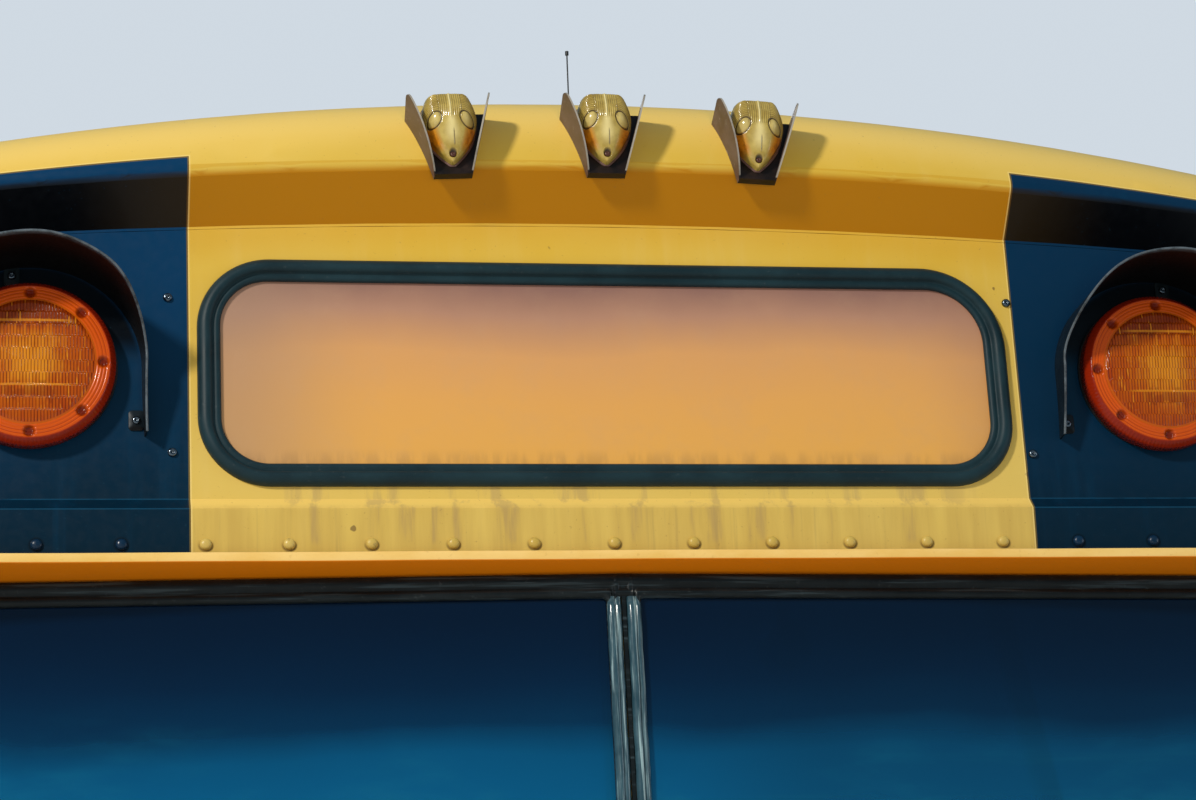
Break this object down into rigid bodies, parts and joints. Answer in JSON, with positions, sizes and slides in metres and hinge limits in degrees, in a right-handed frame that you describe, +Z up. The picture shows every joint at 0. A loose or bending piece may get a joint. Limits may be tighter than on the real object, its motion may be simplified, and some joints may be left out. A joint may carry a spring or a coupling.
{
  "type": "school bus front upper end section",
  "caption": "Upper front end of a school bus: roof cap with brow, lamp and sign header, hooded warning lamps, marker lamps, drip rail and split windscreen.",
  "frame": {"origin": "middle of the windscreen sill's lower face, on the centre line, where the section sits on the cowl", "axes": "+X to the bus's left side, +Y from the front back into the bus, +Z up"},
  "size_m": [2.43, 0.6654, 1.667],
  "materials": {
    "yellow_paint": "gloss, weathered",
    "inner_paint": "satin",
    "black_rubber": "satin",
    "tinted_glass": "clear, tinted band at the top",
    "sign_panel": "translucent, satin",
    "box_white": "gloss",
    "amber_lens": "moulded, gloss",
    "red_lens": "moulded, gloss",
    "hood_black": "satin",
    "bracket_black": "worn satin",
    "marker_amber": "moulded, gloss",
    "bright_steel": "brushed",
    "dark_plastic": "fine grain"
  },
  "bodies": {
    "front": {"amber_hood_left": "hood_black", "amber_hood_right": "hood_black", "amber_housing_left": "hood_black", "amber_housing_right": "hood_black", "amber_lens_left": "amber_lens", "amber_lens_right": "amber_lens", "antenna": "bright_steel", "cap_corner_left": "yellow_paint", "cap_corner_right": "yellow_paint", "drip_rail": "yellow_paint", "grab_pole": "bright_steel", "header_panel": "yellow_paint", "header_shelf": "inner_paint", "inner_fitting": "dark_plastic", "inner_header": "inner_paint", "marker_bracket_centre": "bracket_black", "marker_bracket_left": "bracket_black", "marker_bracket_right": "bracket_black", "marker_lens_centre": "marker_amber", "marker_lens_left": "marker_amber", "marker_lens_right": "marker_amber", "pillar_left": "yellow_paint", "pillar_right": "yellow_paint", "red_hood_left": "hood_black", "red_hood_right": "hood_black", "red_housing_left": "hood_black", "red_housing_right": "hood_black", "red_lens_left": "red_lens", "red_lens_right": "red_lens", "roof_bow_front": "inner_paint", "roof_bow_rear": "inner_paint", "roof_cap": "yellow_paint", "sign_gasket": "black_rubber", "sign_light_box": "box_white", "sign_panel": "sign_panel", "windscreen_frame": "yellow_paint", "windscreen_gasket_left": "black_rubber", "windscreen_gasket_right": "black_rubber", "windscreen_glass_left": "tinted_glass", "windscreen_glass_right": "tinted_glass", "windscreen_post": "inner_paint", "windscreen_post_strip": "black_rubber", "windscreen_sill": "inner_paint"},
    "door_right": {"access_door_right": "inner_paint"},
    "door_left": {"access_door_left": "inner_paint"}
  },
  "joints": [
    {"name": "door_right_hinge", "type": "hinge", "parent": "front", "child": "door_right", "pos_m": [-0.5, 0.159, 1.297], "axis": [1, 0, 0], "range_deg": [0, 95]},
    {"name": "door_left_hinge", "type": "hinge", "parent": "front", "child": "door_left", "pos_m": [0.5, 0.159, 1.297], "axis": [1, 0, 0], "range_deg": [0, 95]}
  ]
}
